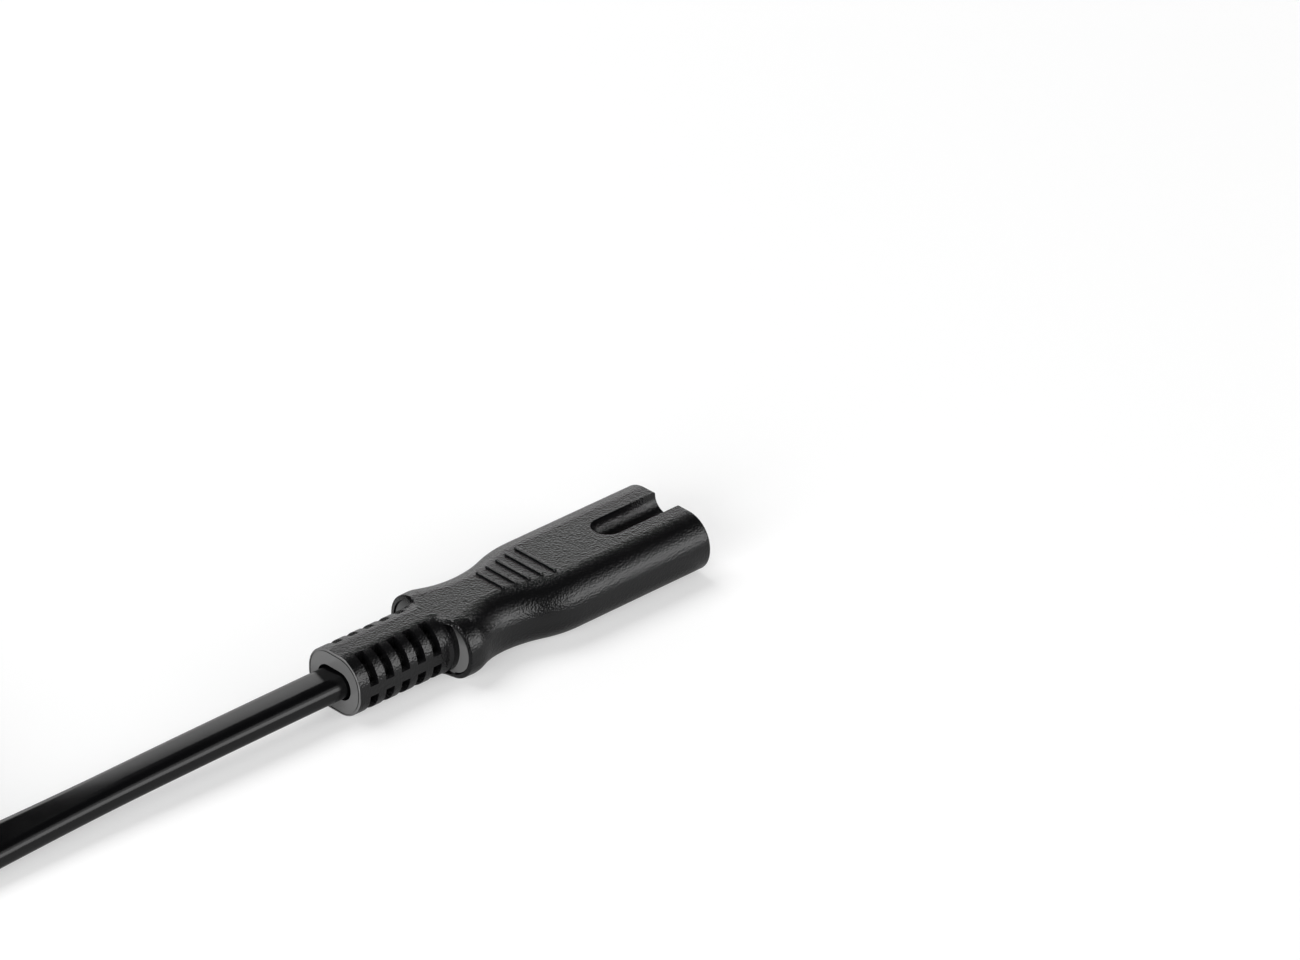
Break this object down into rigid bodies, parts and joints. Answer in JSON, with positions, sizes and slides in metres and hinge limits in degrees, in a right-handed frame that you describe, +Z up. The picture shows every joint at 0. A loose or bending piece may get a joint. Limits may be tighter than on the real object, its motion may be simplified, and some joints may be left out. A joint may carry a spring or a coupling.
{
  "type": "figure eight power connector",
  "caption": "Moulded appliance power connector with a keyed figure-eight nose and a finger waist, on a flat lead laid in a tied hank that ends in a slim flat mains plug.",
  "frame": {"origin": "middle of the connector's underside, halfway between its nose face and the end of its strain relief", "axes": "+X the way the nose goes into an inlet, +Y to the side of the brown core, +Z up out of the flat top"},
  "size_m": [0.2602, 0.0489, 0.0255],
  "materials": {
    "black_pvc": "soft black plastic, moulded, fine spark-eroded grain",
    "black_hard_plastic": "hard black plastic, satin",
    "contact_brass": "turned brass, dull",
    "brown_insulation": "brown core insulation, smooth",
    "blue_insulation": "blue core insulation, smooth",
    "copper_strands": "stranded copper, bright",
    "plated_pins": "nickel plate, polished",
    "cord_sheath": "black flexible cord sheath, smooth satin",
    "tie_strap": "black plastic strap, matt"
  },
  "bodies": {
    "root": {"connector_shell": "black_pvc", "contact_carrier": "black_hard_plastic", "contact_left": "contact_brass", "contact_right": "contact_brass", "brown_core": "brown_insulation", "brown_copper": "copper_strands", "blue_core": "blue_insulation", "blue_copper": "copper_strands", "plug_shell": "black_pvc", "pin_bridge": "black_hard_plastic", "plug_pin_left": "plated_pins", "plug_pin_right": "plated_pins", "pin_sleeve_left": "black_hard_plastic", "pin_sleeve_right": "black_hard_plastic", "plug_brown_core": "brown_insulation", "plug_brown_copper": "copper_strands", "plug_blue_core": "blue_insulation", "plug_blue_copper": "copper_strands", "cord_lead": "cord_sheath", "cord_tail": "cord_sheath", "cord_hank": "cord_sheath", "cord_tie": "tie_strap"}
  },
  "joints": []
}
